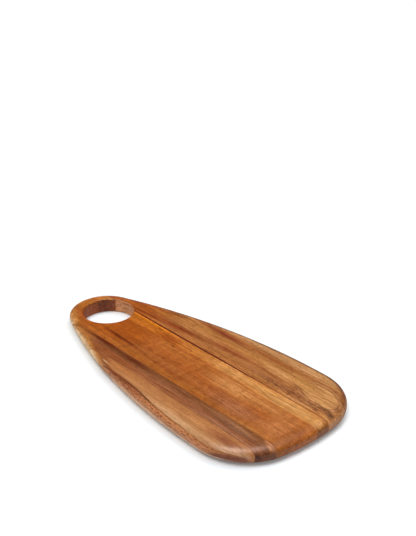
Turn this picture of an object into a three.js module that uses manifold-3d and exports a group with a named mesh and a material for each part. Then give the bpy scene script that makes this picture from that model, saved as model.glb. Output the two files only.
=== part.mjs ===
// Serving board: hardwood staves glued edge to edge, sawn to a teardrop outline, with a hand hole through the
// narrow end, and an edge rounded over its whole height, more widely on the top than underneath.
//
// Millimetres. +X runs along the grain towards the wide end, +Y across the staves towards the back, +Z up.
// The origin is on the underside, at the middle of the board's length and width.

import * as THREE from 'three';
import { mergeVertices } from 'three/addons/utils/BufferGeometryUtils.js';
import Module from 'manifold-3d';

const wasm = await Module();
wasm.setup();

// Outline
const LENGTH = 423;
const WIDTH = 203.5;
const THICKNESS = 19;
const HOLE_DIAMETER = 67;
const RIM = 20.5; // wood left between the hole and the tip of the narrow end
const NARROW_RADIUS = 47.5; // the narrow end
const WIDEST_LINE = 284.5; // from the narrow end's centre to the line where the board is widest
const CORNER_RADIUS = 71; // the two corners of the wide end
const END_RADIUS = 284; // the slow curve across the wide end

// Edges: the top one is a quarter ellipse, the others are quarter circles
const TOP_ROUND_IN = 13;
const TOP_ROUND_DOWN = 8;
const BOTTOM_ROUND = 10;
const HOLE_ROUND = 2;

// Staves and glue, across the board from the back to the front
const BACK_JOINT = 26.5; // from the centreline to the glued face of the back stave
const GOLD_STAVE_WIDTH = 18.8;
const MIDDLE_STAVE_WIDTH = 55.8;
const DARK_STAVE_WIDTH = 21.9;
const OPEN_GLUE_LINE = 1.0; // the joint that closed badly and was filled with dark glue
const TIGHT_GLUE_LINE = 0.2;

// Facets
const ARC_DIVISIONS = 14;
const EDGE_STEPS = 9;
const HOLE_ROUND_STEPS = 4;
const HOLE_FACETS = 64;

// Values that follow from the sizes above
const HOLE_RADIUS = HOLE_DIAMETER / 2;
const HOLE_CENTRE = new THREE.Vector2( RIM + HOLE_RADIUS - LENGTH / 2, 0 );
const NARROW_CENTRE = new THREE.Vector2( NARROW_RADIUS - LENGTH / 2, 0 );

const FINISHES = {
	back: { color: 0xb27a42, roughness: 0.5 },
	gold: { color: 0xd0954c, roughness: 0.5 },
	middle: { color: 0xb8692b, roughness: 0.48 },
	dark: { color: 0x80502f, roughness: 0.5 },
	front: { color: 0xb57b4a, roughness: 0.48 },
	glue: { color: 0x4a2110, roughness: 0.6 },
};

// Where two circles cross, on the right of the line from the first centre to the second.
function circleCrossing( centreA, radiusA, centreB, radiusB ) {

	const axis = centreB.clone().sub( centreA );
	const distance = axis.length();
	axis.normalize();
	const along = ( distance ** 2 + radiusA ** 2 - radiusB ** 2 ) / ( 2 * distance );
	const aside = Math.sqrt( radiusA ** 2 - along ** 2 );
	return new THREE.Vector2(
		centreA.x + along * axis.x + aside * axis.y,
		centreA.y + along * axis.y - aside * axis.x,
	);

}

// The teardrop: six arcs, each tangent to the next. The side arc is tangent to the narrow end and touches the
// full width at the widest line. A corner arc joins it to the end arc.
function boardOutline() {

	const halfWidth = WIDTH / 2;
	const sideRadius = ( WIDEST_LINE ** 2 + halfWidth ** 2 - NARROW_RADIUS ** 2 )
		/ ( 2 * ( halfWidth - NARROW_RADIUS ) );
	const sideCentre = new THREE.Vector2( NARROW_CENTRE.x + WIDEST_LINE, halfWidth - sideRadius );
	const endCentre = new THREE.Vector2( LENGTH / 2 - END_RADIUS, 0 );
	const cornerCentre = circleCrossing(
		sideCentre, sideRadius - CORNER_RADIUS, endCentre, END_RADIUS - CORNER_RADIUS,
	);

	// Directions, from the arcs' centres, of the points where the arcs meet on the back half
	const narrowToSide = NARROW_CENTRE.clone().sub( sideCentre ).angle();
	const sideToCorner = cornerCentre.clone().sub( sideCentre ).angle();
	const cornerToEnd = cornerCentre.clone().sub( endCentre ).angle();

	const outline = new THREE.Shape();
	outline.absarc( sideCentre.x, - sideCentre.y, sideRadius, - narrowToSide, - sideToCorner, false );
	outline.absarc( cornerCentre.x, - cornerCentre.y, CORNER_RADIUS, - sideToCorner, - cornerToEnd, false );
	outline.absarc( endCentre.x, endCentre.y, END_RADIUS, - cornerToEnd, cornerToEnd, false );
	outline.absarc( cornerCentre.x, cornerCentre.y, CORNER_RADIUS, cornerToEnd, sideToCorner, false );
	outline.absarc( sideCentre.x, sideCentre.y, sideRadius, sideToCorner, narrowToSide, false );
	outline.absarc(
		NARROW_CENTRE.x, NARROW_CENTRE.y, NARROW_RADIUS, narrowToSide, 2 * Math.PI - narrowToSide, false,
	);
	return outline;

}

function toSolid( geometry ) {

	geometry.deleteAttribute( 'normal' );
	geometry.deleteAttribute( 'uv' );
	const welded = mergeVertices( geometry );
	return new wasm.Manifold( new wasm.Mesh( {
		numProp: 3,
		vertProperties: welded.attributes.position.array,
		triVerts: Uint32Array.from( welded.index.array ),
	} ) );

}

function toGeometry( solid ) {

	const mesh = solid.getMesh();
	const geometry = new THREE.BufferGeometry();
	geometry.setAttribute( 'position', new THREE.BufferAttribute( mesh.vertProperties, mesh.numProp ) );
	geometry.setIndex( new THREE.BufferAttribute( mesh.triVerts, 1 ) );
	geometry.computeVertexNormals();
	return geometry;

}

// The outline as thick as the board, plus a round at each end that reaches inwards and along by the sizes given.
function roundedBlank( outline, inwards, along, steps ) {

	return new THREE.ExtrudeGeometry( outline, {
		depth: THICKNESS,
		curveSegments: ARC_DIVISIONS,
		bevelSize: inwards,
		bevelOffset: - inwards,
		bevelThickness: along,
		bevelSegments: steps,
	} );

}

// What the hole saw and the router take out: a cylinder that flares at both faces.
function holeCutter() {

	const mouth = HOLE_RADIUS + HOLE_ROUND;
	const profile = new THREE.Path();
	profile.moveTo( 0, - HOLE_ROUND );
	profile.lineTo( mouth, - HOLE_ROUND );
	profile.absarc( mouth, HOLE_ROUND, HOLE_ROUND, - Math.PI / 2, - Math.PI, true );
	profile.absarc( mouth, THICKNESS - HOLE_ROUND, HOLE_ROUND, Math.PI, Math.PI / 2, true );
	profile.lineTo( mouth, THICKNESS + HOLE_ROUND );
	profile.lineTo( 0, THICKNESS + HOLE_ROUND );
	const cutter = new THREE.LatheGeometry( profile.getPoints( HOLE_ROUND_STEPS ), HOLE_FACETS );
	cutter.rotateX( Math.PI / 2 );
	cutter.translate( HOLE_CENTRE.x, HOLE_CENTRE.y, 0 );
	return cutter;

}

// The whole board as one solid: what the top edge and the bottom edge leave of the blank, less the hole.
function boardSolid() {

	const outline = boardOutline();
	const topForm = roundedBlank( outline, TOP_ROUND_IN, TOP_ROUND_DOWN, EDGE_STEPS );
	topForm.translate( 0, 0, - TOP_ROUND_DOWN );
	const bottomForm = roundedBlank( outline, BOTTOM_ROUND, BOTTOM_ROUND, EDGE_STEPS );
	bottomForm.translate( 0, 0, BOTTOM_ROUND );
	return toSolid( topForm ).intersect( toSolid( bottomForm ) ).subtract( toSolid( holeCutter() ) );

}

// A slab that runs right through the board's thickness, between two planes across it and two along it.
function slab( left, right, front, back ) {

	const section = new THREE.Shape( [
		new THREE.Vector2( left, front ),
		new THREE.Vector2( right, front ),
		new THREE.Vector2( right, back ),
		new THREE.Vector2( left, back ),
	] );
	const geometry = new THREE.ExtrudeGeometry( section, { depth: 3 * THICKNESS, bevelEnabled: false } );
	geometry.translate( 0, 0, - THICKNESS );
	return toSolid( geometry );

}

// Each layer has its own width across the board. The first and the last run out past the board's edges.
const LAYERS = [
	{ name: 'back_stave', finish: FINISHES.back, width: WIDTH - BACK_JOINT },
	{ name: 'glue_line_1', finish: FINISHES.glue, width: OPEN_GLUE_LINE },
	{ name: 'gold_stave', finish: FINISHES.gold, width: GOLD_STAVE_WIDTH },
	{ name: 'glue_line_2', finish: FINISHES.glue, width: TIGHT_GLUE_LINE },
	{ name: 'middle_stave', finish: FINISHES.middle, width: MIDDLE_STAVE_WIDTH },
	{ name: 'glue_line_3', finish: FINISHES.glue, width: TIGHT_GLUE_LINE },
	{ name: 'dark_stave', finish: FINISHES.dark, width: DARK_STAVE_WIDTH },
	{ name: 'glue_line_4', finish: FINISHES.glue, width: TIGHT_GLUE_LINE },
	{ name: 'front_stave', finish: FINISHES.front, width: WIDTH },
];

function pieceMesh( name, finish, solid ) {

	const mesh = new THREE.Mesh( toGeometry( solid ), new THREE.MeshStandardMaterial( { ...finish, metalness: 0 } ) );
	mesh.name = name;
	return mesh;

}

// The pieces of one layer. A layer narrower than the hole, and in its way, is cut into a long piece and a tip.
function layerMeshes( board, layer, front, back ) {

	const cutByHole = Math.max( Math.abs( front ), Math.abs( back ) ) < HOLE_RADIUS;
	if ( ! cutByHole ) {

		return [ pieceMesh( layer.name, layer.finish, board.intersect( slab( - LENGTH, LENGTH, front, back ) ) ) ];

	}

	const long = board.intersect( slab( HOLE_CENTRE.x, LENGTH, front, back ) );
	const tip = board.intersect( slab( - LENGTH, HOLE_CENTRE.x, front, back ) );
	return [
		pieceMesh( layer.name, layer.finish, long ),
		pieceMesh( `${ layer.name }_tip`, layer.finish, tip ),
	];

}

function servingBoard() {

	const group = new THREE.Group();
	const board = boardSolid();
	let back = WIDTH;
	for ( const layer of LAYERS ) {

		const front = back - layer.width;
		group.add( ...layerMeshes( board, layer, front, back ) );
		back = front;

	}

	return group;

}

export default servingBoard();
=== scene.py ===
"""Serving board: five acacia staves glued edge to edge, sawn to a teardrop, with a hand hole.

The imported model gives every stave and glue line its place. Each one is replaced here by a finely rounded
piece of the same board, dressed as oiled acacia with the figure of that stave, or as cured glue.

Metres, +X along the grain towards the wide end, +Y across the staves towards the back, +Z up, with the
origin on the underside at the middle of the board. The finishes count in millimetres from the hole's centre.
"""

import logging
import math
from dataclasses import dataclass
from enum import Enum
from typing import Any

import bmesh
import bpy
import numpy as np
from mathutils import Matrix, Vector

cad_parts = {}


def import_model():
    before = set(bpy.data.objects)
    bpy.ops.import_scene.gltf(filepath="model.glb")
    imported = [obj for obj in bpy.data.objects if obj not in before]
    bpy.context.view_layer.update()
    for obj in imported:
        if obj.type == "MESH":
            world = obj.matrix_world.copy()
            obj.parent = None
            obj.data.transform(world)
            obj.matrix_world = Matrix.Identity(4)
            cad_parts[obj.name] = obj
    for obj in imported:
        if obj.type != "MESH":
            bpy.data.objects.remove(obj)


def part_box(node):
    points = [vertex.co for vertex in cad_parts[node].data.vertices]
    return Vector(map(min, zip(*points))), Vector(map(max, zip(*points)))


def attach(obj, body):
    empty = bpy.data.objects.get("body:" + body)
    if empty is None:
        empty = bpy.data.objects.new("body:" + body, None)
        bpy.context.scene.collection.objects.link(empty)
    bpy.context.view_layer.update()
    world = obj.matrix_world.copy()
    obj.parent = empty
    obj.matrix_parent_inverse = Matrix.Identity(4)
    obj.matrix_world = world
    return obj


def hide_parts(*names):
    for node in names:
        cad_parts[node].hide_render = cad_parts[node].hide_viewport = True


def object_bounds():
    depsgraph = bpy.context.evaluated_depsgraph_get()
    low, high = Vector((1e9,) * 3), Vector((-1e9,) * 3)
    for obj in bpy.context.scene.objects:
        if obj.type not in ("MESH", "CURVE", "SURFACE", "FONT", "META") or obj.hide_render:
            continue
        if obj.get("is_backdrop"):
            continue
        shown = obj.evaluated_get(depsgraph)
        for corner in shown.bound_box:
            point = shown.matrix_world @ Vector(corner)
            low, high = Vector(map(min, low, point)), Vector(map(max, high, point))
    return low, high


LOG = logging.getLogger("serving_board")
PHOTO_WIDTH, PHOTO_HEIGHT = 416, 536
MM = 0.001
WHITE = "#FFFFFF"
# Where a Mix node keeps its factor, its two colours and the mixed colour
FACTOR, FIRST, SECOND, MIXED = 0, 6, 7, 2
# How many finer octaves a noise gets: one for plain blots, two for ragged ones
PLAIN, RAGGED = 1.0, 2.0

Point = tuple[float, float, float]
Tree = bpy.types.NodeTree
Socket = bpy.types.NodeSocket


def linear(colour: str) -> tuple[float, float, float, float]:
    """Turn an sRGB hex colour into the linear colour that a shader takes, by the curve of the sRGB standard.

    Args:
        colour: Six hex digits after a hash sign.

    Returns:
        Linear red, green and blue, and an alpha of one.
    """
    values = np.array([int(colour[i:i + 2], 16) for i in (1, 3, 5)]) / 255
    red, green, blue = np.where(values <= 0.04045, values / 12.92, ((values + 0.055) / 1.055) ** 2.4)
    return float(red), float(green), float(blue), 1.0


def add_node(
    tree: Tree,
    kind: str,
    settings: dict[str, Any] | None = None,
    inputs: dict[str | int, Any] | None = None,
) -> bpy.types.Node:
    """Add one node to a material, with its settings, values and links.

    Args:
        tree: The material's node tree.
        kind: Blender's name for the node type.
        settings: Properties of the node itself.
        inputs: Sockets by name or number, each with a value or the output that feeds it.

    Returns:
        The new node.
    """
    node = tree.nodes.new(kind)
    for name, value in (settings or {}).items():
        setattr(node, name, value)
    for socket, value in (inputs or {}).items():
        if isinstance(value, Socket):
            tree.links.new(value, node.inputs[socket])
        else:
            node.inputs[socket].default_value = value
    return node


def blank_material(name: str) -> bpy.types.Material:
    """Make a material whose node tree is empty.

    Args:
        name: The finish's name.

    Returns:
        The material.
    """
    material = bpy.data.materials.new(name)
    material.use_nodes = True
    material.node_tree.nodes.clear()
    return material


class Share(Enum):
    """What a layer keeps of the board, because the hand hole cuts the narrow layers in two."""

    WHOLE = "whole"
    LONG = "long"
    TIP = "tip"


class Fleck(Enum):
    """How a streak breaks up into dashes: not at all, into open pores or into longer flecks."""

    NONE = "none"
    FINE = "fine"
    COARSE = "coarse"


@dataclass(frozen=True)
class Streak:
    """A lens of darker or paler wood that lies along the grain.

    Lengths are millimetres and the turn is degrees. The place is along the grain from the hole's centre,
    across from the centreline, and up from the underside. The softness is the share of the reach over which
    the streak fades. A straight streak ignores how the grain wanders, as a stain along a glue joint does.
    """

    place: Point
    reach: Point
    colour: str
    strength: float = 0.8
    softness: float = 1.0
    turn: float = 0.0
    straight: bool = False
    fleck: Fleck = Fleck.NONE

    def paint(self, tree: Tree, grain: Socket, flecks: dict[Fleck, Socket], colour: Socket) -> Socket:
        """Lay the streak over a colour, as one minus the distance from its centre in units of its reach.

        Args:
            tree: The material's node tree.
            grain: Millimetre coordinates that follow the grain.
            flecks: For each kind of fleck, one in the dashes and nought between them.
            colour: What the wood shows without the streak.

        Returns:
            The colour with the streak in it.
        """
        lens = add_node(tree, "ShaderNodeMapping", {"vector_type": "TEXTURE"}, {
            "Vector": grain, "Location": self.place, "Scale": self.reach,
            "Rotation": (0.0, 0.0, math.radians(self.turn)),
        })
        depth = add_node(tree, "ShaderNodeTexGradient", {"gradient_type": "SPHERICAL"}, {0: lens.outputs[0]})
        cover = add_node(tree, "ShaderNodeMapRange", {"interpolation_type": "SMOOTHSTEP"}, {
            "Value": depth.outputs["Fac"], "From Max": self.softness, "To Max": self.strength,
        })
        if self.fleck in flecks:
            cover = add_node(tree, "ShaderNodeMath", {"operation": "MULTIPLY"}, {
                0: cover.outputs[0], 1: flecks[self.fleck],
            })
        mixed = add_node(tree, "ShaderNodeMix", {"data_type": "RGBA"}, {
            FACTOR: cover.outputs[0], FIRST: colour, SECOND: linear(self.colour),
        })
        return mixed.outputs[MIXED]


@dataclass(frozen=True)
class Face:
    """A tint for the surfaces of a stave that turn one way, such as end grain, which drinks more oil.

    Some tints are painted shade, on the far edge and on the wide ends, which turn away from the lamps.

    The tint starts, and is full, where the dot product of the surface's normal and the direction has these
    values.
    """

    direction: Point
    colour: str
    strength: float
    starts: float = 0.1
    full: float = 0.6

    def paint(self, tree: Tree, normal: Socket, colour: Socket) -> Socket:
        """Mix the tint into a colour where the surface turns towards the direction.

        Args:
            tree: The material's node tree.
            normal: The surface's normal.
            colour: What the wood shows without the tint.

        Returns:
            The colour with the tint in it.
        """
        facing = add_node(tree, "ShaderNodeVectorMath", {"operation": "DOT_PRODUCT"}, {
            0: normal, 1: self.direction,
        })
        cover = add_node(tree, "ShaderNodeMapRange", {"interpolation_type": "SMOOTHSTEP"}, {
            "Value": facing.outputs["Value"], "From Min": self.starts, "From Max": self.full,
            "To Max": self.strength,
        })
        mixed = add_node(tree, "ShaderNodeMix", {"data_type": "RGBA"}, {
            FACTOR: cover.outputs[0], FIRST: colour, SECOND: linear(self.colour),
        })
        return mixed.outputs[MIXED]


@dataclass(frozen=True)
class OiledAcacia:
    """Acacia, planed, sanded and oiled.

    The oil soaks in, so the colour is deep and the sheen is satin, broken up by growth bands, fine fibres and
    open pores along the grain. Each stave comes from another plank, so each has its own tones and streaks,
    and its own tints on surfaces that turn one way, such as end grain where the saw cut across the grain;
    some of these tints are painted shade. Sizes are millimetres along, across and through the stave.
    """

    name: str
    seed: float
    tones: tuple[tuple[float, str], ...]
    streaks: tuple[Streak, ...]
    faces: tuple[Face, ...] = ()
    # The grain's long and short waves, and how far each shifts it from side to side
    long_wave: Point = (120.0, 24.0, 24.0)
    long_swing: Point = (0.0, 4.0, 3.0)
    short_wave: Point = (26.0, 3.5, 3.5)
    short_swing: Point = (0.0, 2.4, 1.5)
    # What shades the wood, and how much of the contrast goes to red, green and blue
    band_size: Point = (170.0, 4.5, 8.0)
    band_contrast: float = 1.2
    mottle_size: Point = (16.0, 3.2, 3.2)
    mottle_contrast: float = 0.6
    fibre_size: Point = (45.0, 2.0, 3.0)
    fibre_contrast: float = 1.7
    ripple_size: Point = (7.0, 24.0, 24.0)
    ripple_contrast: float = 0.0
    contrast_shares: Point = (0.8, 1.0, 1.25)
    detail_strength: float = 0.6
    # Real pores are a fifth of a millimetre wide. They are drawn about five times as wide, so that they show.
    pore_size: Point = (5.0, 1.1, 1.1)
    pore_contrast: float = 0.45
    pore_tint: str = "#8F5C3C"
    fleck_size: Point = (8.0, 2.4, 2.4)
    dash_starts: float = 0.5
    dash_full: float = 0.68
    # The oiled surface: its gloss, how it dulls as the look along it gets flatter, and its relief
    roughness: float = 0.36
    roughness_swing: float = 0.2
    sheen: float = 0.25
    ior: float = 1.45
    dulls_from: float = 0.5
    dullest_at: float = 0.85
    dulling: float = 0.55
    relief_height: float = 0.15
    relief_strength: float = 0.25
    pore_depth: float = 0.2

    def material(self, hole: Vector) -> bpy.types.Material:
        """Build the stave's material.

        Args:
            hole: Where the hole's centre meets the underside, from which the figure is measured.

        Returns:
            The material.
        """
        material = blank_material(self.name)
        tree = material.node_tree
        place = add_node(tree, "ShaderNodeTexCoord")
        ruler = add_node(tree, "ShaderNodeMapping", {"vector_type": "TEXTURE"}, {
            "Vector": place.outputs["Object"], "Location": hole, "Scale": (MM, MM, MM),
        }).outputs[0]
        grain = self._wander(tree, ruler, self.long_wave, self.long_swing)
        grain = self._wander(tree, grain, self.short_wave, self.short_swing)
        bands = self._noise(tree, grain, self.band_size, RAGGED)
        fibres = self._noise(tree, grain, self.fibre_size, RAGGED)
        mottle = self._noise(tree, grain, self.mottle_size, RAGGED)
        ripple = self._noise(tree, ruler, self.ripple_size, PLAIN)
        pores = self._dashes(tree, ruler, self.pore_size)
        flecks = {Fleck.FINE: pores, Fleck.COARSE: self._dashes(tree, grain, self.fleck_size)}
        colour = self._tones_across(tree, grain)
        for streak in self.streaks:
            colour = streak.paint(tree, ruler if streak.straight else grain, flecks, colour)
        for face in self.faces:
            colour = face.paint(tree, place.outputs["Normal"], colour)
        for noise, contrast in (
            (bands, self.band_contrast),
            (mottle, self.mottle_contrast),
            (fibres, self.fibre_contrast),
            (ripple, self.ripple_contrast),
        ):
            colour = self._shaded(tree, colour, noise, contrast)
        colour = self._pitted(tree, colour, pores)
        self._surface(tree, colour, fibres, pores)
        return material

    def _noise(self, tree: Tree, grain: Socket, size: Point, detail: float, output: str = "Fac") -> Socket:
        """Give noise whose blots have a size.

        Args:
            tree: The material's node tree.
            grain: Millimetre coordinates.
            size: The blots' size.
            detail: How many finer octaves are added.
            output: Which of the noise's outputs is taken, its value or its three-part colour.

        Returns:
            The noise, between nought and one.
        """
        scaled = add_node(tree, "ShaderNodeMapping", {}, {
            "Vector": grain, "Scale": tuple(1 / length for length in size),
        })
        noise = add_node(tree, "ShaderNodeTexNoise", {"noise_dimensions": "4D"}, {
            "Vector": scaled.outputs[0], "W": self.seed, "Scale": 1.0, "Detail": detail,
            "Roughness": self.detail_strength,
        })
        return noise.outputs[output]

    def _wander(self, tree: Tree, grain: Socket, size: Point, swing: Point) -> Socket:
        """Shift coordinates by swing times (noise - 1/2), so that what follows them is as uneven as grain.

        Args:
            tree: The material's node tree.
            grain: Millimetre coordinates.
            size: The size of the waves.
            swing: How far they shift the coordinates from side to side.

        Returns:
            The shifted coordinates.
        """
        centred = add_node(tree, "ShaderNodeVectorMath", {"operation": "SUBTRACT"}, {
            0: self._noise(tree, grain, size, RAGGED, "Color"), 1: (0.5, 0.5, 0.5),
        })
        moved = add_node(tree, "ShaderNodeVectorMath", {"operation": "MULTIPLY_ADD"}, {
            0: centred.outputs[0], 1: swing, 2: grain,
        })
        return moved.outputs[0]

    def _tones_across(self, tree: Tree, grain: Socket) -> Socket:
        """Give the stave's base colour, a ramp of its tones by the distance across the board.

        Args:
            tree: The material's node tree.
            grain: Millimetre coordinates that follow the grain.

        Returns:
            The base colour.
        """
        front, back = self.tones[0][0], self.tones[-1][0]
        across = add_node(tree, "ShaderNodeSeparateXYZ", {}, {0: grain})
        share = add_node(tree, "ShaderNodeMapRange", {}, {
            "Value": across.outputs["Y"], "From Min": front, "From Max": back,
        })
        ramp = add_node(tree, "ShaderNodeValToRGB", {}, {0: share.outputs[0]})
        elements = ramp.color_ramp.elements
        elements.remove(elements[1])
        elements[0].position, elements[0].color = 0.0, linear(self.tones[0][1])
        for distance, colour in self.tones[1:]:
            elements.new((distance - front) / (back - front)).color = linear(colour)
        return ramp.outputs[0]

    def _shaded(self, tree: Tree, colour: Socket, noise: Socket, contrast: float) -> Socket:
        """Darken and lighten a colour with noise: colour times (1 + gain (noise - 1/2)).

        The gain is least on red and most on blue, so dark grain is redder and pale grain is creamier.

        Args:
            tree: The material's node tree.
            colour: What the wood shows without the shading.
            noise: What shades it, between nought and one.
            contrast: How strongly it does.

        Returns:
            The shaded colour.
        """
        gain = tuple(contrast * share for share in self.contrast_shares)
        tint = add_node(tree, "ShaderNodeVectorMath", {"operation": "MULTIPLY_ADD"}, {
            0: noise, 1: gain, 2: tuple(1 - share / 2 for share in gain),
        })
        shaded = add_node(tree, "ShaderNodeVectorMath", {"operation": "MULTIPLY"}, {
            0: colour, 1: tint.outputs[0],
        })
        return shaded.outputs[0]

    def _dashes(self, tree: Tree, grain: Socket, size: Point) -> Socket:
        """Give short dashes, which start at one height of a noise and are full at another.

        Args:
            tree: The material's node tree.
            grain: Millimetre coordinates.
            size: The size of the noise's blots.

        Returns:
            One in a dash, nought between the dashes.
        """
        noise = self._noise(tree, grain, size, PLAIN)
        dashes = add_node(tree, "ShaderNodeMapRange", {}, {
            "Value": noise, "From Min": self.dash_starts, "From Max": self.dash_full,
        })
        return dashes.outputs[0]

    def _pitted(self, tree: Tree, colour: Socket, pores: Socket) -> Socket:
        """Darken a colour in the open pores.

        Args:
            tree: The material's node tree.
            colour: What the wood shows without them.
            pores: One in a pore, nought between the pores.

        Returns:
            The colour with the pores in it.
        """
        depth = add_node(tree, "ShaderNodeMath", {"operation": "MULTIPLY"}, {0: pores, 1: self.pore_contrast})
        pitted = add_node(tree, "ShaderNodeMix", {"data_type": "RGBA", "blend_type": "MULTIPLY"}, {
            FACTOR: depth.outputs[0], FIRST: colour, SECOND: linear(self.pore_tint),
        })
        return pitted.outputs[MIXED]

    def _surface(self, tree: Tree, colour: Socket, fibres: Socket, pores: Socket) -> None:
        """Close the material: satin oil that dulls at grazing angles, with fibres and pores in relief.

        Sanded fibres stand up a little, so a look along the surface meets their sides and finds no mirror.

        Args:
            tree: The material's node tree.
            colour: The wood's finished colour.
            fibres: The fibres' noise, between nought and one.
            pores: One in a pore, nought between the pores.
        """
        glance = add_node(tree, "ShaderNodeLayerWeight")
        dull = add_node(tree, "ShaderNodeMapRange", {"interpolation_type": "SMOOTHSTEP"}, {
            "Value": glance.outputs["Facing"], "From Min": self.dulls_from, "From Max": self.dullest_at,
            "To Max": self.dulling,
        })
        rough = add_node(tree, "ShaderNodeMath", {"operation": "MULTIPLY_ADD"}, {
            0: fibres, 1: self.roughness_swing, 2: self.roughness - self.roughness_swing / 2,
        })
        total = add_node(tree, "ShaderNodeMath", {"operation": "ADD", "use_clamp": True}, {
            0: rough.outputs[0], 1: dull.outputs[0],
        })
        relief = add_node(tree, "ShaderNodeMath", {"operation": "MULTIPLY_ADD"}, {
            0: pores, 1: -self.pore_depth, 2: fibres,
        })
        bump = add_node(tree, "ShaderNodeBump", {}, {
            "Strength": self.relief_strength, "Distance": self.relief_height * MM,
            "Height": relief.outputs[0],
        })
        wood = add_node(tree, "ShaderNodeBsdfPrincipled", {}, {
            "Base Color": colour, "Roughness": total.outputs[0], "IOR": self.ior,
            "Specular IOR Level": self.sheen, "Normal": bump.outputs[0],
        })
        add_node(tree, "ShaderNodeOutputMaterial", {}, {"Surface": wood.outputs[0]})


@dataclass(frozen=True)
class CuredGlue:
    """Wood glue, cured in the joint and sanded flush.

    A joint that stood a little open shows it as a thin dark line, uneven where the wood closed on it.
    Lengths are millimetres. Blots shift the line's fading along the board, by the unevenness at most.
    """

    name: str
    dark: str
    pale: str
    fades_from: float
    fades_to: float
    blot_size: float = 18.0
    blot_detail: float = 3.0
    unevenness: float = 120.0
    roughness: float = 0.55
    sheen: float = 0.2
    ior: float = 1.48

    def material(self, hole: Vector) -> bpy.types.Material:
        """Build the glue's material, which pales along the board between two distances from the hole.

        Args:
            hole: Where the hole's centre meets the underside.

        Returns:
            The material.
        """
        material = blank_material(self.name)
        tree = material.node_tree
        place = add_node(tree, "ShaderNodeTexCoord")
        ruler = add_node(tree, "ShaderNodeMapping", {"vector_type": "TEXTURE"}, {
            "Vector": place.outputs["Object"], "Location": hole, "Scale": (MM, MM, MM),
        }).outputs[0]
        along = add_node(tree, "ShaderNodeSeparateXYZ", {}, {0: ruler})
        blots = add_node(tree, "ShaderNodeTexNoise", {}, {
            "Vector": ruler, "Scale": 1 / self.blot_size, "Detail": self.blot_detail,
        })
        uneven = add_node(tree, "ShaderNodeMath", {"operation": "MULTIPLY_ADD"}, {
            0: blots.outputs["Fac"], 1: self.unevenness, 2: along.outputs["X"],
        })
        shift = self.unevenness / 2
        fade = add_node(tree, "ShaderNodeMapRange", {"interpolation_type": "SMOOTHSTEP"}, {
            "Value": uneven.outputs[0], "From Min": self.fades_from + shift,
            "From Max": self.fades_to + shift,
        })
        colour = add_node(tree, "ShaderNodeMix", {"data_type": "RGBA"}, {
            FACTOR: fade.outputs[0], FIRST: linear(self.dark), SECOND: linear(self.pale),
        })
        glue = add_node(tree, "ShaderNodeBsdfPrincipled", {}, {
            "Base Color": colour.outputs[MIXED], "Roughness": self.roughness, "IOR": self.ior,
            "Specular IOR Level": self.sheen,
        })
        add_node(tree, "ShaderNodeOutputMaterial", {}, {"Surface": glue.outputs[0]})
        return material


# A reach far greater than the board's thickness, for a streak that goes right through it
THROUGH = 400.0

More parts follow.
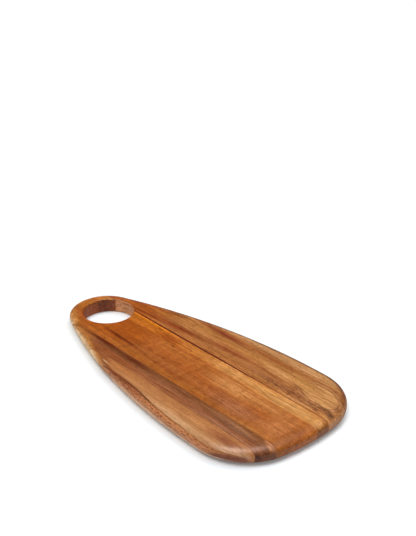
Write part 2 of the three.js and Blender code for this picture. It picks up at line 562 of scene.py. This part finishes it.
BACK_ACACIA = OiledAcacia(
    name="acacia_back_stave_oiled",
    seed=1.3,
    tones=(
        (26.5, "#B4703A"), (34.2, "#B4713A"), (42.3, "#B0703C"), (52.3, "#B67640"), (58.3, "#BC7C42"),
        (65.4, "#BC7E42"), (71.4, "#B4743C"), (77.4, "#B67640"), (84.4, "#C48E56"), (93.5, "#BE8850"),
        (102.0, "#A66C3C"),
    ),
    streaks=(
        # The narrow end, past the hole
        Streak((0.5, 43.9, 0.0), (98.3, 58.9, THROUGH), "#A85414", 0.9, 0.7),
        Streak((40.0, 32.5, 0.0), (46.0, 5.0, THROUGH), "#883C10", 0.85, turn=4.0),
        Streak((54.6, 49.6, 0.0), (35.4, 5.9, THROUGH), "#B06C2C", 0.8, turn=8.0),
        Streak((66.0, 60.0, 0.0), (42.0, 5.8, THROUGH), "#864418", 0.85, turn=10.0),
        # The tan strip beside the joint and the dark band that bends away from it
        Streak((128.3, 30.2, 0.0), (108.1, 4.4, THROUGH), "#B66E38", 0.8),
        Streak((98.0, 39.5, 0.0), (75.0, 9.0, THROUGH), "#8E380E", 0.9, turn=4.0),
        Streak((185.0, 48.5, 0.0), (76.0, 9.0, THROUGH), "#964A20", 0.9, turn=1.5),
        Streak((252.0, 47.5, 0.0), (48.0, 4.5, THROUGH), "#A05C2C", 0.8, turn=-4.0),
        # Tan and red-brown bands towards the far edge
        Streak((187.3, 60.0, 0.0), (98.3, 6.5, THROUGH), "#B8763A", 0.8),
        Streak((268.0, 57.0, 0.0), (48.0, 9.5, THROUGH), "#D4985E", 0.95, turn=-4.0),
        Streak((152.0, 72.0, 0.0), (76.0, 9.0, THROUGH), "#843218", 0.9),
        Streak((228.0, 73.8, 0.0), (80.0, 4.6, THROUGH), "#A0582A", 0.9),
        Streak((246.2, 84.6, 0.0), (118.0, 7.4, THROUGH), "#CC9260", 0.85),
        Streak((312.0, 76.0, 0.0), (46.0, 3.0, THROUGH), "#AC6836", 0.8),
        Streak((285.6, 70.0, 0.0), (39.3, 2.2, THROUGH), "#AA6634", 0.7),
        # The tongue of pale wood at the wide end, inside its rings. Each is a long lens and a round one.
        Streak((324.0, 57.5, 0.0), (38.6, 21.0, THROUGH), "#955A32", 0.75, 0.1, turn=-9.0, straight=True),
        Streak((344.0, 51.0, 0.0), (18.0, 15.0, THROUGH), "#955A32", 0.75, 0.2, turn=-9.0, straight=True),
        Streak((324.0, 57.5, 0.0), (36.6, 19.2, THROUGH), "#BC8250", 0.85, 0.12, turn=-9.0, straight=True),
        Streak((344.0, 51.0, 0.0), (16.5, 13.6, THROUGH), "#BC8250", 0.85, 0.2, turn=-9.0, straight=True),
        Streak((324.0, 57.3, 0.0), (33.2, 16.6, THROUGH), "#8E5028", 0.8, 0.12, turn=-9.0, straight=True),
        Streak((344.0, 51.0, 0.0), (13.8, 11.4, THROUGH), "#8E5028", 0.8, 0.2, turn=-9.0, straight=True),
        Streak((324.0, 57.6, 0.0), (31.6, 15.0, THROUGH), "#D2975C", 0.9, 0.14, turn=-9.0, straight=True),
        Streak((344.0, 51.0, 0.0), (12.4, 10.0, THROUGH), "#D2975C", 0.9, 0.25, turn=-9.0, straight=True),
        Streak((293.0, 62.5, 0.0), (34.0, 11.5, THROUGH), "#C88C4E", 0.95, 0.5, turn=-8.0),
        Streak((302.0, 68.5, 0.0), (40.0, 1.8, THROUGH), "#A86A34", 0.7, turn=-5.0),
        Streak((300.0, 52.3, 0.0), (30.0, 1.6, THROUGH), "#98582C", 0.8, turn=-9.0),
        # The dark flecked streak at the wide end
        Streak((238.0, 40.5, 0.0), (30.0, 4.0, THROUGH), "#A4663C", 0.8),
        Streak((285.0, 38.0, 0.0), (68.0, 8.5, THROUGH), "#A86A40", 0.9, turn=-2.0),
        Streak((335.0, 35.5, 0.0), (48.0, 9.0, THROUGH), "#AE7446", 0.85),
        Streak((312.0, 36.4, 0.0), (74.0, 10.5, THROUGH), "#643418", 0.6, 0.4, fleck=Fleck.COARSE),
        Streak((302.0, 37.0, 0.0), (82.0, 10.0, THROUGH), "#5E3016", 0.6, 0.4, fleck=Fleck.FINE),
        Streak((255.0, 33.0, 0.0), (44.0, 2.6, THROUGH), "#C48C54", 0.75),
        Streak((318.0, 29.0, 0.0), (50.0, 2.2, THROUGH), "#C48E58", 0.75),
        # A knot at the wide end, with a pale strip beside it
        Streak((360.0, 29.6, 0.0), (13.0, 2.2, THROUGH), "#D09450", 0.8, straight=True),
        Streak((360.5, 36.0, 0.0), (7.5, 4.8, THROUGH), "#5A3820", 0.75, straight=True),
        Streak((349.0, 40.3, 0.0), (14.0, 1.8, THROUGH), "#6E4426", 0.85, 0.6, turn=-4.0, straight=True),
        # The stain along the open joint
        Streak((128.0, 26.5, 0.0), (150.0, 1.0, THROUGH), "#5E1604", 0.9, 0.3, straight=True),
    ),
    faces=(
        # The far edge, darkened with painted shade, the wide corner and the hole's wall
        Face((-0.1, 1.0, 0.0), "#6A2E12", 0.85, full=0.4),
        Face((0.9, 0.4, 0.0), "#CC9468", 0.6, 0.4, 0.95),
        Face((0.0, -1.0, 0.0), "#F0AA74", 0.85, 0.5, 0.9),
    ),
)

GOLD_ACACIA = OiledAcacia(
    name="acacia_gold_stave_oiled",
    seed=4.7,
    tones=((6.7, "#B66428"), (11.5, "#C0722E"), (18.4, "#C67A34"), (25.5, "#C27432")),
    streaks=(
        # Golden beside the hole, paler towards the wide end
        Streak((60.0, 16.0, 0.0), (95.0, 28.0, THROUGH), "#C26A20", 0.95, 0.7),
        Streak((58.0, 23.0, 0.0), (70.0, 14.0, THROUGH), "#DC801C", 0.95),
        Streak((115.0, 13.0, 0.0), (34.0, 12.0, THROUGH), "#8C3404", 0.7),
        Streak((228.6, 16.5, 0.0), (73.7, 13.7, THROUGH), "#DA9A58", 0.9),
        Streak((320.0, 15.1, 0.0), (88.5, 14.7, THROUGH), "#D89753", 0.95, 0.6),
        Streak((315.1, 15.2, 0.0), (93.4, 12.8, THROUGH), "#F4CA90", 0.7, fleck=Fleck.FINE),
        Streak((271.8, 15.3, 0.0), (27.5, 1.1, THROUGH), "#A06028", 0.7, 0.6, turn=-11.8),
        Streak((312.0, 15.5, 0.0), (75.0, 13.0, THROUGH), "#B0702E", 0.3, 0.5, fleck=Fleck.COARSE),
        # A red fleck and a pin knot
        Streak((85.0, 20.0, 0.0), (9.0, 2.0, THROUGH), "#7A2A08", 0.85),
        Streak((153.4, 11.9, 0.0), (2.6, 1.9, THROUGH), "#6A3010", 0.9),
        # The hole's wall, and the stain along the open joint
        Streak((-25.1, 17.6, 9.5), (23.6, 17.7, 9.5), "#A85634", 0.9, 0.3),
        Streak((128.0, 25.5, 0.0), (152.0, 1.0, THROUGH), "#5E1604", 0.95, 0.3, straight=True),
    ),
    # The wide end: darker end grain, with painted shade in it
    faces=(Face((1.0, 0.0, 0.0), "#7A3E1A", 0.8, 0.3, 0.95),),
    mottle_contrast=0.9,
    ripple_contrast=0.5,
)

MIDDLE_ACACIA = OiledAcacia(
    name="acacia_middle_stave_oiled",
    seed=8.1,
    tones=(
        (-49.3, "#AE6024"), (-42.9, "#B06628"), (-36.9, "#A45A24"), (-31.0, "#AA602A"),
        (-21.1, "#B06026"), (-11.2, "#B66528"), (-1.3, "#B86A2C"), (6.5, "#B66628"),
    ),
    streaks=(
        # Towards the hole
        Streak((30.0, -10.2, 0.0), (93.4, 49.1, THROUGH), "#AE5610", 0.9, 0.6),
        Streak((75.0, 8.0, 0.0), (70.0, 10.0, THROUGH), "#BC661C", 0.85),
        Streak((67.3, -30.9, 0.0), (51.1, 4.9, THROUGH), "#702C04", 0.95, 0.8, turn=-2.0),
        Streak((126.3, -35.1, 0.0), (41.3, 3.1, THROUGH), "#8E4712", 0.8, turn=-4.0),
        Streak((177.4, -37.8, 0.0), (43.3, 4.3, THROUGH), "#964C1E", 0.85, turn=-3.0),
        Streak((108.6, -43.4, 0.0), (113.0, 4.4, THROUGH), "#B06422", 0.8),
        Streak((93.9, -18.8, 0.0), (51.1, 2.7, THROUGH), "#9A4E14", 0.7),
        # Towards the wide end
        Streak((250.0, -6.0, 0.0), (62.0, 20.0, THROUGH), "#D69254", 0.9),
        Streak((305.0, -3.0, 0.0), (55.0, 16.0, THROUGH), "#CA864A", 0.75),
        Streak((280.0, -32.0, 0.0), (66.0, 20.0, THROUGH), "#AE6C44", 0.85),
        Streak((342.0, -21.3, 0.0), (34.0, 40.0, THROUGH), "#C47C46", 0.8),
        Streak((348.5, -36.0, 0.0), (18.7, 2.6, THROUGH), "#A0602C", 0.7),
        Streak((315.0, -47.3, 0.0), (55.0, 2.4, THROUGH), "#C88A50", 0.8),
        # The wide end's rounded top: darker end grain, with painted shade in it
        Streak((359.0, -20.0, 19.0), (12.0, 38.0, 5.0), "#A05A26", 0.8),
        # The narrow end, with pale wood on its edge that holds painted light where it faces the lamps, and
        # the hole's wall
        Streak((-40.8, -14.8, 0.0), (21.6, 44.2, THROUGH), "#BA7028", 0.9),
        Streak((-36.9, -24.6, 0.0), (12.8, 4.9, THROUGH), "#9A5412", 0.7),
        Streak((-17.2, -41.4, 0.0), (27.5, 6.9, THROUGH), "#C4843E", 0.85, turn=-25.0),
        Streak((-24.0, -46.0, 9.0), (42.0, 24.0, 10.2), "#D28C46", 0.95, 0.2),
        Streak((-18.0, -50.0, 6.5), (44.0, 22.0, 11.2), "#F8CE9A", 0.97, 0.6),
        Streak((-29.0, -2.1, 9.5), (15.7, 39.3, 9.5), "#B05A2C", 0.9, 0.3),
        # Pin knots
        Streak((130.3, 4.1, 0.0), (4.5, 2.0, THROUGH), "#6A2E10", 0.85),
        Streak((132.2, -6.7, 0.0), (3.5, 1.8, THROUGH), "#7E3C14", 0.75),
    ),
    # The wide end: a little darker end grain, with painted shade in it
    faces=(Face((1.0, 0.0, 0.0), "#9C5C2E", 0.2, 0.4, 1.0),),
    band_contrast=0.9,
    mottle_contrast=0.6,
    fibre_contrast=1.1,
    ripple_contrast=0.7,
)

DARK_ACACIA = OiledAcacia(
    name="acacia_dark_stave_oiled",
    seed=12.9,
    tones=(
        (-71.4, "#A2663E"), (-66.1, "#9C5C36"), (-61.3, "#945A38"), (-56.5, "#8A542E"),
        (-49.5, "#8C562C"),
    ),
    streaks=(
        Streak((20.2, -53.3, 0.0), (43.3, 19.6, THROUGH), "#A8622A", 0.9, 0.7),
        Streak((84.1, -65.3, 0.0), (88.5, 7.9, THROUGH), "#955228", 0.95, 0.6),
        Streak((64.0, -51.5, 0.0), (50.0, 6.5, THROUGH), "#601F03", 0.95, 0.8),
        Streak((126.3, -53.7, 0.0), (70.8, 6.5, THROUGH), "#5C1E02", 0.95),
        Streak((216.8, -55.1, 0.0), (93.4, 6.4, THROUGH), "#864E2C", 0.85),
        Streak((307.2, -55.0, 0.0), (68.8, 5.9, THROUGH), "#AC7450", 0.85),
        Streak((295.4, -67.7, 0.0), (83.6, 4.4, THROUGH), "#A87456", 0.85),
        Streak((312.0, -59.6, 0.0), (56.0, 4.4, THROUGH), "#906248", 0.9),
        # The end: orange wood beside one joint and a painted highlight on its rounded top, dark beside the
        # other
        Streak((358.0, -50.5, 17.0), (15.0, 6.5, 9.0), "#CE8A5C", 0.95, 0.5),
        Streak((352.0, -64.0, 19.0), (10.0, 9.0, 4.0), "#A87456", 0.8),
        Streak((358.0, -69.5, 8.5), (13.0, 8.0, 8.5), "#4A2014", 0.9, 0.6),
        # Pale sapwood along the outer edge, with painted light in it where the edge faces the lamps
        Streak((25.0, -62.0, 9.0), (98.0, 26.0, 10.0), "#C8843F", 0.9, 0.2),
        Streak((25.0, -64.0, 6.5), (98.0, 26.0, 10.8), "#FCD2A0", 0.97, 0.42),
    ),
    # The end: darker end grain, with painted shade in it
    faces=(Face((0.85, -0.5, 0.0), "#6E3A22", 0.5, 0.35, 0.9),),
)

FRONT_ACACIA = OiledAcacia(
    name="acacia_front_stave_oiled",
    seed=17.2,
    tones=((-102.0, "#B07644"), (-93.5, "#C48C5C"), (-84.1, "#C0824E"), (-71.6, "#B87846")),
    streaks=(
        Streak((128.3, -75.3, 0.0), (59.0, 7.9, THROUGH), "#B6703A", 0.8),
        Streak((63.4, -72.1, 0.0), (51.1, 7.9, THROUGH), "#955228", 0.95, 0.3, turn=-6.0),
        Streak((101.0, -78.2, 0.0), (12.0, 1.1, THROUGH), "#E0B888", 0.9, turn=-11.0),
        Streak((318.0, -82.0, 0.0), (42.0, 11.0, THROUGH), "#925234", 0.9),
        # Pale wood along the edge and round the corner, with a painted highlight on the rounded edge
        Streak((254.0, -94.6, 0.0), (60.0, 6.0, THROUGH), "#DCAA78", 0.9, turn=-3.0),
        Streak((336.0, -89.5, 0.0), (36.0, 9.0, THROUGH), "#DCA880", 0.95, 0.8, turn=34.0, straight=True),
        # The leaf along the edge: flecked heartwood under a dark line, paler below with painted light from
        # the floor
        Streak((176.0, -89.9, 9.2), (88.0, 30.0, 9.05), "#5A2810", 0.95, 0.03, straight=True),
        Streak((224.0, -89.9, 9.2), (136.0, 30.0, 8.4), "#7C4222", 0.8, 0.05, straight=True),
        Streak((178.0, -89.9, 9.2), (86.0, 29.0, 8.55), "#D08654", 0.95, 0.08, straight=True),
        Streak((226.0, -89.9, 9.2), (134.0, 29.6, 8.1), "#D08654", 0.95, 0.08, straight=True),
        Streak((120.0, -85.0, 15.6), (32.0, 8.0, 2.4), "#8A4426", 0.9, 0.8, turn=-11.0, straight=True),
        Streak((158.0, -90.5, 16.4), (50.0, 9.0, 5.0), "#8A4426", 0.85, turn=-8.0, straight=True),
        Streak(
            (176.0, -89.9, 9.2), (88.0, 30.0, 9.05), "#78381A", 0.55, 0.1,
            straight=True, fleck=Fleck.FINE,
        ),
        Streak(
            (224.0, -89.9, 9.2), (136.0, 30.0, 8.4), "#78381A", 0.55, 0.1,
            straight=True, fleck=Fleck.FINE,
        ),
        Streak(
            (205.0, -90.0, 9.2), (112.0, 30.0, 8.4), "#E0A070", 0.5, 0.2,
            straight=True, fleck=Fleck.COARSE,
        ),
        # Paler below: painted light from the white floor on the lower edge
        Streak((160.0, -100.0, 2.0), (158.0, 30.0, 10.6), "#F8C094", 0.93, 0.35),
        # The corner's dark underside, which ends in orange wood at the joint
        Streak((335.0, -90.0, 6.6), (34.0, 22.0, 7.4), "#8C4C32", 0.95, 0.4, straight=True),
        Streak((354.0, -72.0, 9.0), (8.0, 6.0, 8.5), "#C47C4C", 0.9, 0.6, straight=True),
        # The pale line along the bottom: painted light, thrown up from the white floor onto the lower round
        Streak((210.0, -92.0, 4.8), (155.0, 36.0, 2.8), "#FFD8B6", 0.95, 0.4, straight=True),
        # The golden and cream start of the edge, pale wood with painted light in it where it faces the lamps
        Streak((74.0, -77.0, 7.0), (46.0, 16.0, 11.0), "#D08A48", 0.95, 0.3),
        Streak((58.0, -75.0, 7.5), (44.0, 17.0, 9.8), "#FCD2A0", 0.97, 0.5),
    ),
    band_contrast=0.7,
    mottle_contrast=0.5,
    fibre_contrast=0.95,
    pore_contrast=0.3,
)

OPEN_GLUE = CuredGlue("wood_glue_open_joint_sanded", "#561404", "#955A30", 225.0, 335.0)
TIGHT_GLUE = CuredGlue("wood_glue_tight_joint_sanded", "#9A5824", "#A26A38", 100.0, 300.0)


@dataclass(frozen=True)
class Layer:
    """One layer of the board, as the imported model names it: a stave or a glue line."""

    node: str
    slot: str
    finish: OiledAcacia | CuredGlue
    share: Share = Share.WHOLE


@dataclass
class Board:
    """The glued board: a teardrop of tangent arcs with a rounded section, cut into its layers.

    Lengths are metres and the crease is degrees. The board's own length, width and thickness come from the
    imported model.
    """

    length: float
    width: float
    thickness: float
    layers: tuple[Layer, ...]
    hole_radius: float = 0.0335
    rim: float = 0.0205
    narrow_radius: float = 0.0475
    widest_line: float = 0.2845
    corner_radius: float = 0.071
    end_radius: float = 0.284
    top_round_in: float = 0.013
    top_round_down: float = 0.008
    bottom_round: float = 0.010
    hole_round: float = 0.002
    # How finely it is divided: a step along the outline, and counts of steps in the section
    facet: float = 0.0016
    edge_steps: int = 14
    wall_steps: int = 2
    lip_steps: int = 6
    bore_steps: int = 4
    # How far past a round the flat's first point lies, and how near to the board's edge nothing is cut
    flat_margin: float = 0.0006
    edge_margin: float = 0.001
    # How exactly a plane cuts, and the angle past which an edge is drawn sharp
    cut_tolerance: float = 1e-7
    crease: float = 35.0

    @property
    def hole(self) -> Vector:
        """Give the hole's centre on the underside, a rim and a radius from the tip of the narrow end."""
        return Vector((self.rim + self.hole_radius - self.length / 2, 0.0, 0.0))

    def outline(self) -> tuple[np.ndarray, np.ndarray, np.ndarray]:
        """Work out the teardrop as six arcs, each tangent to the next, anticlockwise from the wide end.

        The side arc is tangent to the narrow end and touches the full width at the widest line, so its
        radius is (line squared + half width squared - narrow radius squared) / (2 (half width - narrow
        radius)). The corner's centre is as far from the side's and the end's centres as those radii less
        its own.

        Returns:
            For every station round the board, its arc's centre, its arc's radius and its direction.
        """
        half = self.width / 2
        squares = self.widest_line ** 2 + half ** 2 - self.narrow_radius ** 2
        side_radius = squares / (2 * (half - self.narrow_radius))
        narrow = np.array([self.narrow_radius - self.length / 2, 0.0])
        side = np.array([narrow[0] + self.widest_line, half - side_radius])
        end = np.array([self.length / 2 - self.end_radius, 0.0])
        axis = end - side
        span = np.linalg.norm(axis)
        axis /= span
        from_side, from_end = side_radius - self.corner_radius, self.end_radius - self.corner_radius
        along = (span ** 2 + from_side ** 2 - from_end ** 2) / (2 * span)
        aside = math.sqrt(from_side ** 2 - along ** 2)
        corner = side + along * axis + aside * np.array([axis[1], -axis[0]])
        to_narrow = math.atan2(*(narrow - side)[::-1])
        to_corner = math.atan2(*(corner - side)[::-1])
        to_end = math.atan2(*(corner - end)[::-1])
        mirror = np.array([1.0, -1.0])
        turn = 2 * math.pi
        arcs = (
            (end, self.end_radius, -to_end, to_end),
            (corner, self.corner_radius, to_end, to_corner),
            (side, side_radius, to_corner, to_narrow),
            (narrow, self.narrow_radius, to_narrow, turn - to_narrow),
            (side * mirror, side_radius, turn - to_narrow, turn - to_corner),
            (corner * mirror, self.corner_radius, turn - to_corner, turn - to_end),
        )
        steps = [math.ceil(radius * (stop - start) / self.facet) for _, radius, start, stop in arcs]
        centres = np.concatenate([np.tile(centre, (n, 1)) for (centre, *_), n in zip(arcs, steps)])
        radii = np.concatenate([np.full(n, radius) for (_, radius, *_), n in zip(arcs, steps)])
        angles = np.concatenate([
            np.linspace(start, stop, n, endpoint=False) for (*_, start, stop), n in zip(arcs, steps)
        ])
        return centres, radii, angles

    def section(self) -> tuple[np.ndarray, np.ndarray]:
        """Work out the board's section as two profiles, one up the outer edge and one down the hole.

        The bottom edge and the hole's edges are quarter circles and the top edge is a quarter ellipse. A
        point on the flat, a margin past each round, keeps the flat's shading flat.

        Returns:
            Rows of inset from the outline and height, and rows of distance from the hole's wall and height.
        """
        quarter = np.linspace(0.0, math.pi / 2, self.edge_steps + 1)
        short = np.linspace(0.0, math.pi / 2, self.lip_steps + 1)
        top_of_wall = self.thickness - self.top_round_down
        walls = np.linspace(self.bottom_round, top_of_wall, self.wall_steps + 1)[1:-1]
        outer = np.concatenate([
            [[self.bottom_round + self.flat_margin, 0.0]],
            self.bottom_round * np.column_stack([1 - np.sin(quarter), 1 - np.cos(quarter)]),
            np.column_stack([np.zeros_like(walls), walls]),
            np.column_stack([
                self.top_round_in * (1 - np.cos(quarter)),
                self.thickness - self.top_round_down * (1 - np.sin(quarter)),
            ]),
            [[self.top_round_in + self.flat_margin, self.thickness]],
        ])
        lip = self.hole_round * np.column_stack([1 - np.sin(short), 1 - np.cos(short)])
        bore = np.linspace(self.thickness - self.hole_round, self.hole_round, self.bore_steps + 1)[1:-1]
        inner = np.concatenate([
            [[self.hole_round + self.flat_margin, self.thickness]],
            np.column_stack([lip[:, 0], self.thickness - lip[:, 1]]),
            np.column_stack([np.zeros_like(bore), bore]),
            lip[::-1],
            [[self.hole_round + self.flat_margin, 0.0]],
        ])
        return outer, inner

    def surface(self) -> tuple[np.ndarray, np.ndarray]:
        """Carry the section round the board as one closed grid of stations by points of the section.

        An outer point is its arc's centre plus (radius - inset) times the arc's direction. A point of the
        hole is the hole's centre plus (hole radius + distance) times the direction in which the station
        lies from there.

        Returns:
            The grid's points, and its quads as four point numbers each.
        """
        centres, radii, angles = self.outline()
        outer, inner = self.section()
        direction = np.column_stack([np.cos(angles), np.sin(angles)])
        rings = centres[:, None] + (radii[:, None, None] - outer[None, :, :1]) * direction[:, None]
        middle = np.array(self.hole.xy)
        spoke = centres + radii[:, None] * direction - middle
        spoke /= np.linalg.norm(spoke, axis=1, keepdims=True)
        bore = middle + (self.hole_radius + inner[None, :, :1]) * spoke[:, None]
        plan = np.concatenate([rings, bore], axis=1)
        height = np.broadcast_to(np.concatenate([outer[:, 1], inner[:, 1]]), plan.shape[:2])
        points = np.concatenate([plan, height[..., None]], axis=2)
        stations, places = points.shape[:2]
        here = np.arange(stations * places).reshape(stations, places)
        onward = np.roll(here, -1, axis=0)
        quads = np.stack([here, onward, np.roll(onward, -1, axis=1), np.roll(here, -1, axis=1)], axis=2)
        return points.reshape(-1, 3), quads.reshape(-1, 4)

    def cut(self, layer: Layer) -> list[tuple[Vector, Vector]]:
        """List the planes that part a layer from the board.

        A layer has no plane on a side where it reaches the board's own edge.

        Args:
            layer: The stave or glue line.

        Returns:
            For each plane, a point on it and the direction in which the wood is taken away.
        """
        low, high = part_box(layer.node)
        planes = []
        if low.y > -self.width / 2 + self.edge_margin:
            planes.append((low, Vector((0.0, -1.0, 0.0))))
        if high.y < self.width / 2 - self.edge_margin:
            planes.append((high, Vector((0.0, 1.0, 0.0))))
        if layer.share is Share.LONG:
            planes.append((self.hole, Vector((-1.0, 0.0, 0.0))))
        if layer.share is Share.TIP:
            planes.append((self.hole, Vector((1.0, 0.0, 0.0))))
        return planes

    def piece(self, layer: Layer, blank: bpy.types.Mesh) -> bpy.types.Object:
        """Cut one layer out of the board, close its glued faces and put it in the node's place.

        Args:
            layer: The stave or glue line.
            blank: The whole board's surface.

        Returns:
            The finished piece, without its material.
        """
        shape = bmesh.new()
        shape.from_mesh(blank)
        for point, away in self.cut(layer):
            parted = bmesh.ops.bisect_plane(
                shape, geom=[*shape.verts, *shape.edges, *shape.faces], dist=self.cut_tolerance,
                plane_co=point, plane_no=away, clear_outer=True,
            )
            rim = [part for part in parted["geom_cut"] if isinstance(part, bmesh.types.BMEdge)]
            bmesh.ops.edgeloop_fill(shape, edges=rim)
        bmesh.ops.recalc_face_normals(shape, faces=shape.faces)
        mesh = bpy.data.meshes.new(f"{layer.node}_shaped")
        shape.to_mesh(mesh)
        shape.free()
        mesh.polygons.foreach_set("use_smooth", np.ones(len(mesh.polygons), dtype=bool))
        mesh.set_sharp_from_angle(angle=math.radians(self.crease))
        piece = bpy.data.objects.new(f"{layer.node}_shaped", mesh)
        bpy.context.scene.collection.objects.link(piece)
        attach(piece, "root")
        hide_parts(layer.node)
        return piece

    def build(self) -> None:
        """Make every layer's piece, dress it and report it."""
        points, quads = self.surface()
        blank = bpy.data.meshes.new("board_blank")
        blank.from_pydata(points, [], quads)
        materials: dict[str, bpy.types.Material] = {}
        for layer in self.layers:
            piece = self.piece(layer, blank)
            if layer.finish.name not in materials:
                materials[layer.finish.name] = layer.finish.material(self.hole)
            piece.data.materials.append(materials[layer.finish.name])
            LOG.info("%s: %d faces, %s", piece.name, len(piece.data.polygons), layer.finish.name)
        bpy.data.meshes.remove(blank)


class Effect(Enum):
    """What the wood takes from a lamp: its light and its mirror image, or one of the two alone."""

    FULL = "full"
    LIGHT = "light"
    GLEAM = "gleam"


@dataclass(frozen=True)
class Softbox:
    """A soft lamp, so far away that its light is even all over the floor.

    The direction points from the board to the lamp. The strength is its light on a surface that faces it, in
    watts per square metre. The spread is the angle in degrees that the lamp fills as the board sees it.
    """

    name: str
    direction: Point
    strength: float
    spread: float
    effect: Effect = Effect.FULL

    def hang(self) -> None:
        """Add the lamp to the scene."""
        data = bpy.data.lights.new(self.name, "SUN")
        data.energy = self.strength
        data.angle = math.radians(self.spread)
        lamp = bpy.data.objects.new(self.name, data)
        lamp.rotation_euler = Vector(self.direction).to_track_quat("Z", "Y").to_euler()
        lamp.visible_glossy = self.effect is not Effect.LIGHT
        lamp.visible_diffuse = self.effect is not Effect.GLEAM
        bpy.context.scene.collection.objects.link(lamp)


@dataclass
class Studio:
    """A pale floor in a dim room, soft light from above, and the camera at the photograph's place.

    Lengths are metres, the sensor is millimetres and angles are degrees. The camera's azimuth is
    anticlockwise from a look along +Y, and the camera sees as far as its sight.
    """

    aim: Point = (-0.17007, 0.18699, 0.019)
    distance: float = 1.39875
    azimuth: float = 48.582
    elevation: float = 25.109
    focal_pixels: float = 965.5
    sensor: float = 36.0
    sight: float = 100.0
    floor_size: float = 120.0
    room: float = 0.05
    floor_colour: str = "#ECF2F6"
    floor_lift: float = 0.15
    lamps: tuple[Softbox, ...] = (
        Softbox("key_softbox", (-0.11, -0.24, 0.95), 1.51, 35.0),
        Softbox("back_softbox", (-0.05, 0.46, 0.89), 1.5, 46.0, Effect.LIGHT),
        Softbox("fill_softbox", (0.35, -0.25, 0.9), 0.4, 80.0),
        Softbox("rim_softbox", (-0.05, -0.02, 1.0), 2.7, 40.0, Effect.GLEAM),
    )

    def camera(self) -> None:
        """Place the camera so that the board fills the photograph's frame as it does there."""
        data = bpy.data.cameras.new("photograph_camera")
        data.sensor_width = self.sensor
        data.lens = self.focal_pixels / max(PHOTO_WIDTH, PHOTO_HEIGHT) * self.sensor
        data.clip_end = self.sight
        camera = bpy.data.objects.new("photograph_camera", data)
        turn, rise = math.radians(self.azimuth), math.radians(self.elevation)
        back = Vector((math.sin(turn) * math.cos(rise), -math.cos(turn) * math.cos(rise), math.sin(rise)))
        camera.location = Vector(self.aim) + self.distance * back
        camera.rotation_euler = (math.pi / 2 - rise, 0.0, turn)
        bpy.context.scene.collection.objects.link(camera)
        bpy.context.scene.camera = camera

    def floor(self) -> None:
        """Lay a white floor, a square round the origin, that stays white where no shadow falls on it."""
        half = self.floor_size / 2
        corners = half * np.array([[-1.0, -1.0, 0.0], [1.0, -1.0, 0.0], [1.0, 1.0, 0.0], [-1.0, 1.0, 0.0]])
        mesh = bpy.data.meshes.new("studio_floor")
        mesh.from_pydata(corners, [], [(0, 1, 2, 3)])
        floor = bpy.data.objects.new("studio_floor", mesh)
        bpy.context.scene.collection.objects.link(floor)
        floor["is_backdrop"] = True
        mesh.materials.append(self.floor_paint())

    def floor_paint(self) -> bpy.types.Material:
        """Build matte white paint that adds a little light of its own for the eye and for reflections.

        Returns:
            The material.
        """
        material = blank_material("matte_white_floor_paint")
        tree = material.node_tree
        paint = add_node(tree, "ShaderNodeBsdfDiffuse", {}, {"Color": linear(self.floor_colour)})
        path = add_node(tree, "ShaderNodeLightPath")
        mirrored = add_node(tree, "ShaderNodeMath", {"operation": "MAXIMUM"}, {
            0: path.outputs["Is Glossy Ray"], 1: path.outputs["Is Transmission Ray"],
        })
        seen = add_node(tree, "ShaderNodeMath", {"operation": "MAXIMUM"}, {
            0: path.outputs["Is Camera Ray"], 1: mirrored.outputs[0],
        })
        lift = add_node(tree, "ShaderNodeMath", {"operation": "MULTIPLY"}, {
            0: seen.outputs[0], 1: self.floor_lift,
        })
        glow = add_node(tree, "ShaderNodeEmission", {}, {
            "Color": linear(WHITE), "Strength": lift.outputs[0],
        })
        both = add_node(tree, "ShaderNodeAddShader", {}, {0: paint.outputs[0], 1: glow.outputs[0]})
        add_node(tree, "ShaderNodeOutputMaterial", {}, {"Surface": both.outputs[0]})
        return material

    def light(self) -> None:
        """Light the board with the lamps, in a room that is dim, so that the wood mirrors little of it."""
        world = bpy.data.worlds.new("studio_room")
        bpy.context.scene.world = world
        world.use_nodes = True
        tree = world.node_tree
        tree.nodes.clear()
        room = add_node(tree, "ShaderNodeBackground", {}, {"Color": linear(WHITE), "Strength": self.room})
        add_node(tree, "ShaderNodeOutputWorld", {}, {"Surface": room.outputs[0]})
        for lamp in self.lamps:
            lamp.hang()

    def build(self) -> None:
        """Set up the whole studio."""
        self.camera()
        self.floor()
        self.light()
        bpy.context.scene.view_settings.view_transform = "Standard"


LAYERS = (
    Layer("back_stave", "back_wood", BACK_ACACIA),
    Layer("glue_line_1", "glue", OPEN_GLUE, Share.LONG),
    Layer("glue_line_1_tip", "glue", TIGHT_GLUE, Share.TIP),
    Layer("gold_stave", "gold_wood", GOLD_ACACIA, Share.LONG),
    Layer("gold_stave_tip", "gold_wood", GOLD_ACACIA, Share.TIP),
    Layer("glue_line_2", "glue", TIGHT_GLUE, Share.LONG),
    Layer("glue_line_2_tip", "glue", TIGHT_GLUE, Share.TIP),
    Layer("middle_stave", "middle_wood", MIDDLE_ACACIA),
    Layer("glue_line_3", "glue", TIGHT_GLUE),
    Layer("dark_stave", "dark_wood", DARK_ACACIA),
    Layer("glue_line_4", "glue", TIGHT_GLUE),
    Layer("front_stave", "front_wood", FRONT_ACACIA),
)


def main() -> None:
    """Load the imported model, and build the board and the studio."""
    logging.basicConfig(level=logging.INFO, format="%(message)s")
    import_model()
    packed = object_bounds()
    length, width, thickness = packed[1] - packed[0]
    Board(length, width, thickness, LAYERS).build()
    Studio().build()


if __name__ == "__main__":
    main()
